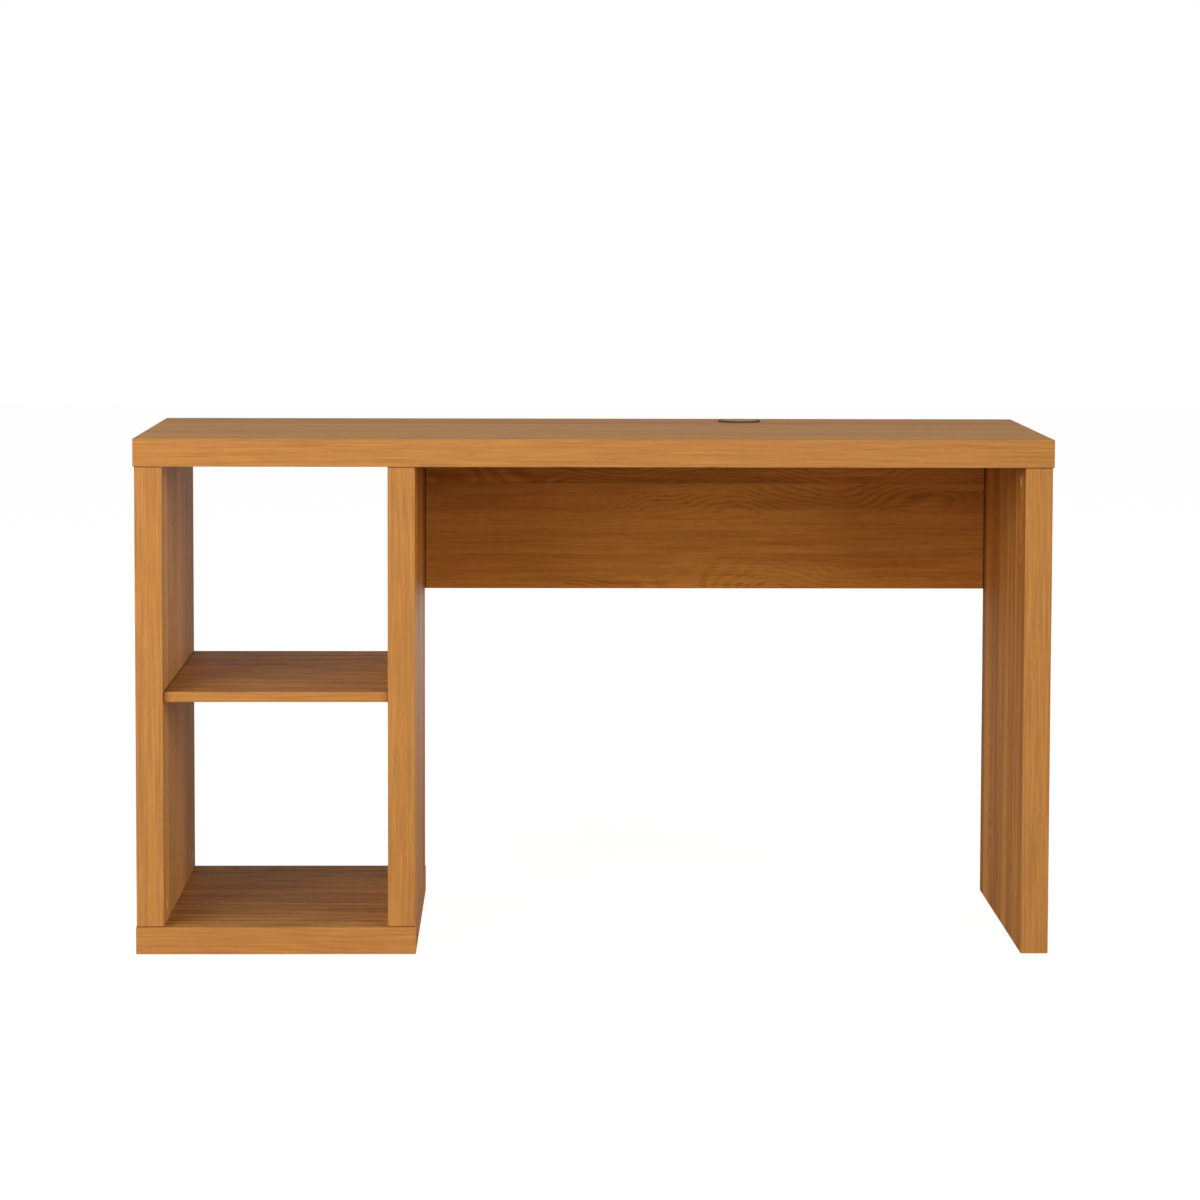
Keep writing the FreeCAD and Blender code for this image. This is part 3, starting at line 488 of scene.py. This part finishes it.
def makeFloorMaterial():
    material = bpy.data.materials.new("paleFloor")
    material.use_nodes = True
    tree = material.node_tree
    tree.nodes.clear()
    path = addNode(tree, "ShaderNodeLightPath")
    lit = addNode(tree, "ShaderNodeBsdfDiffuse", {"Color": (floorLook["bounce"],) * 3 + opaque})
    faint = addNode(tree, "ShaderNodeBsdfDiffuse", {"Color": (floorLook["shadow"],) * 3 + opaque})
    glow = addNode(tree, "ShaderNodeEmission", {"Color": white, "Strength": floorLook["glow"]})
    seen = addNode(tree, "ShaderNodeAddShader", {0: faint.outputs[0], 1: glow.outputs[0]})
    mix = addNode(tree, "ShaderNodeMixShader", {
        0: path.outputs["Is Camera Ray"], 1: lit.outputs[0], 2: seen.outputs[0]})
    finish = addNode(tree, "ShaderNodeOutputMaterial")
    tree.links.new(mix.outputs[0], finish.inputs["Surface"])
    return material


def makeFloor():
    mesh = bpy.data.meshes.new("floor")
    shape = bmesh.new()
    bmesh.ops.create_grid(shape, x_segments=1, y_segments=1, size=floorLook["half"])
    shape.to_mesh(mesh)
    shape.free()
    mesh.materials.append(makeFloorMaterial())
    floor = bpy.data.objects.new("floor", mesh)
    scene.collection.objects.link(floor)


makeFloor()


# light: a pale room all round, large soft lamps in front and low ones behind

roomLight = {"strength": 0.2, "seen": 1.0}
softBoxes = {   # spread in degrees
    "leftBox": {"place": (-2.3, -2.8, 1.9), "size": (2.2, 2.2), "power": 76.0,
                "spread": 180.0, "sheen": True},
    "rightBox": {"place": (5.0, -6.1, 3.0), "size": (4.0, 4.0), "power": 232.0,
                 "spread": 180.0, "sheen": True},
    "backBox": {"place": (1.2, 3.2, 0.4), "size": (0.7, 0.7), "power": 6.0,
                "spread": 180.0, "sheen": True},
    "floorStrip": {"place": (0.0, 3.4, 0.12), "size": (2.4, 0.1), "power": 1.2,
                   "spread": 50.0, "sheen": False},               # a narrow fill for the back alone
}
lampAim = (0.0, 0.0, 0.4)


def makeRoomLight():
    world = bpy.data.worlds.new("paleRoom")
    world.use_nodes = True
    tree = world.node_tree
    tree.nodes.clear()
    path = addNode(tree, "ShaderNodeLightPath")
    seen = math2(tree, "MAXIMUM", path.outputs["Is Camera Ray"], path.outputs["Is Glossy Ray"])
    seen = math2(tree, "MAXIMUM", seen, path.outputs["Is Transmission Ray"])
    dim = addNode(tree, "ShaderNodeBackground", {"Color": white, "Strength": roomLight["strength"]})
    bright = addNode(tree, "ShaderNodeBackground", {"Color": white, "Strength": roomLight["seen"]})
    mix = addNode(tree, "ShaderNodeMixShader", {0: seen, 1: dim.outputs[0], 2: bright.outputs[0]})
    finish = addNode(tree, "ShaderNodeOutputWorld")
    tree.links.new(mix.outputs[0], finish.inputs["Surface"])
    scene.world = world


def makeSoftBox(name, look):
    lamp = bpy.data.lights.new(name, "AREA")
    lamp.shape = "RECTANGLE"
    lamp.size, lamp.size_y = look["size"]
    lamp.energy = look["power"]
    lamp.spread = math.radians(look["spread"])
    holder = bpy.data.objects.new(name, lamp)
    scene.collection.objects.link(holder)
    holder.visible_camera = False
    holder.visible_glossy = look["sheen"]
    holder.location = look["place"]
    right, back, up = [aim - start for aim, start in zip(lampAim, look["place"])]
    tilt = math.atan2(math.hypot(right, back), -up)
    holder.rotation_euler = (tilt, 0.0, math.atan2(-right, back))


makeRoomLight()
for boxName, boxLook in softBoxes.items():
    makeSoftBox(boxName, boxLook)
print("light and floor set")


# camera at the photograph's eye point

camera = {
    "place": (-0.0893, -5.5546, 1.1183), "lens": 109.08, "sensor": 36.0, "rise": -0.12,
    "pitch": 4.072, "roll": 0.164, "yaw": 1.037,                  # degrees: down, level, to the right
}


def makeCamera():
    view = bpy.data.cameras.new("view")
    view.sensor_fit = "HORIZONTAL"
    view.sensor_width = camera["sensor"]
    view.lens = camera["lens"]
    view.shift_y = camera["rise"]
    eye = bpy.data.objects.new("view", view)
    scene.collection.objects.link(eye)
    eye.location = camera["place"]
    eye.rotation_euler = Euler((
        math.radians(90.0 - camera["pitch"]), math.radians(-camera["roll"]), math.radians(-camera["yaw"])))
    scene.camera = eye


makeCamera()
